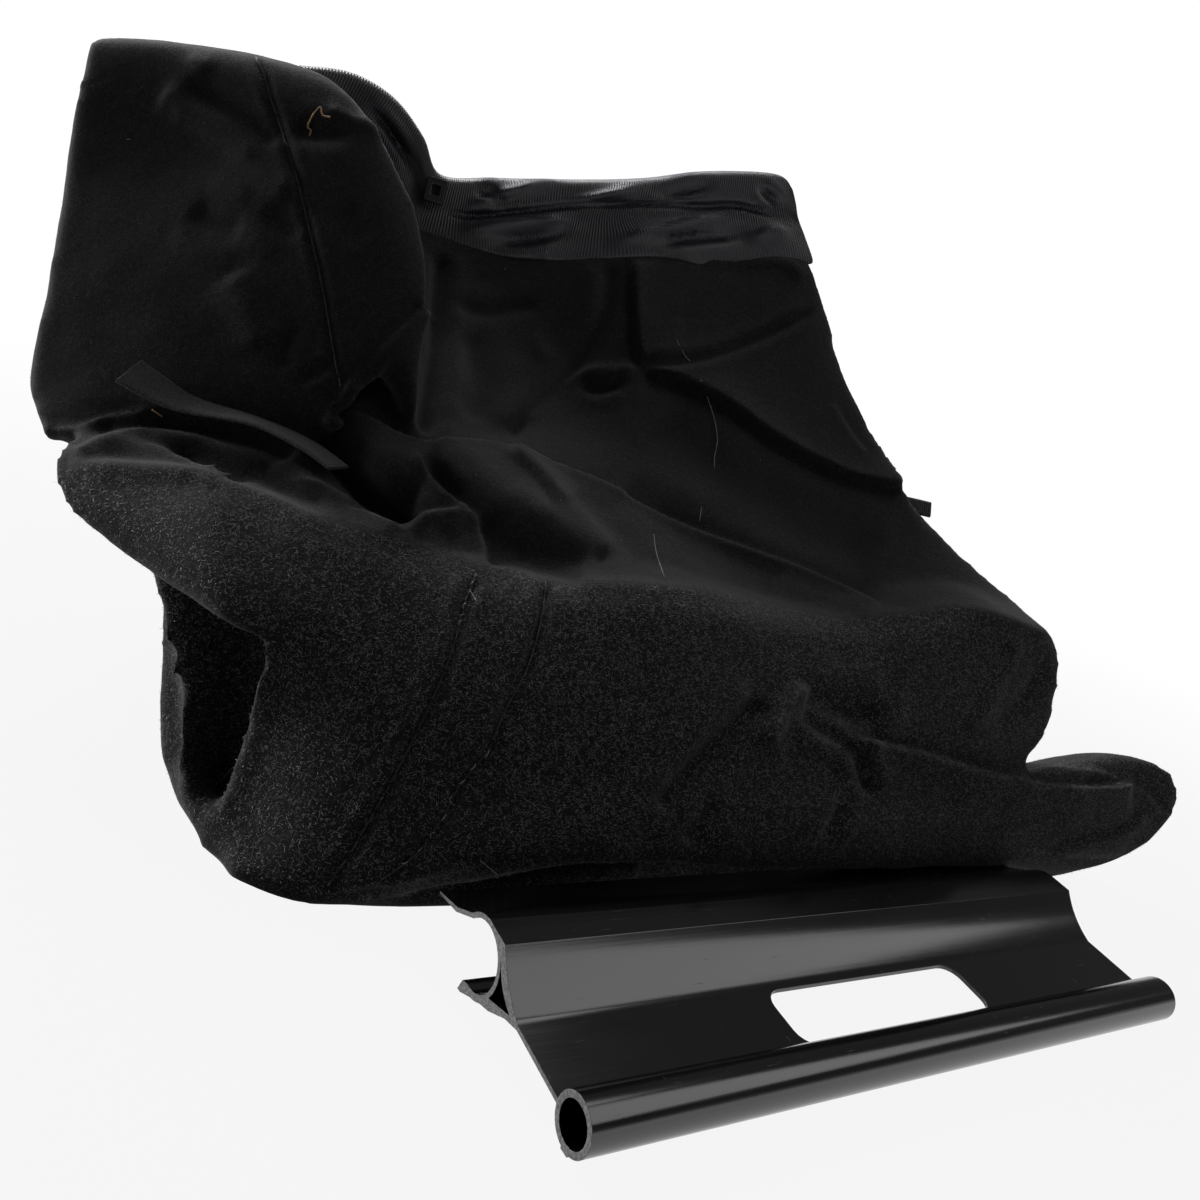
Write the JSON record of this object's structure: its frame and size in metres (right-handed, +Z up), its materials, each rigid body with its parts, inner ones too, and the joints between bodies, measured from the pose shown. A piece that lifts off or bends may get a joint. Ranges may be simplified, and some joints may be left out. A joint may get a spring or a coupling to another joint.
{
  "type": "chipper shredder bag with clip handle",
  "caption": "Black felt debris bag with a knit collar, folded behind its extruded plastic clip handle with a hand hole, hollow beam and snap channel.",
  "frame": {"origin": "on the floor under the middle of the whole part's footprint", "axes": "+X along the handle to its right end as seen from the grip, +Y from the grip back over the bag, +Z up"},
  "size_m": [0.6112, 0.4738, 0.3481],
  "materials": {
    "black_plastic": "extruded black plastic with fine die lines, scratches and rough grey cut ends",
    "black_felt": "brushed felt with grey fuzz and stray light fibres",
    "black_knit": "ribbed warp knit with a slight sheen",
    "black_webbing": "woven ribbed webbing with melted cut ends",
    "tie_plastic": "small moulded nylon tie head"
  },
  "bodies": {
    "root": {"clip_handle": "black_plastic", "bag_body": "black_felt", "knit_collar": "black_knit", "tie_head": "tie_plastic", "strap_left": "black_webbing", "strap_right": "black_webbing"}
  },
  "joints": []
}
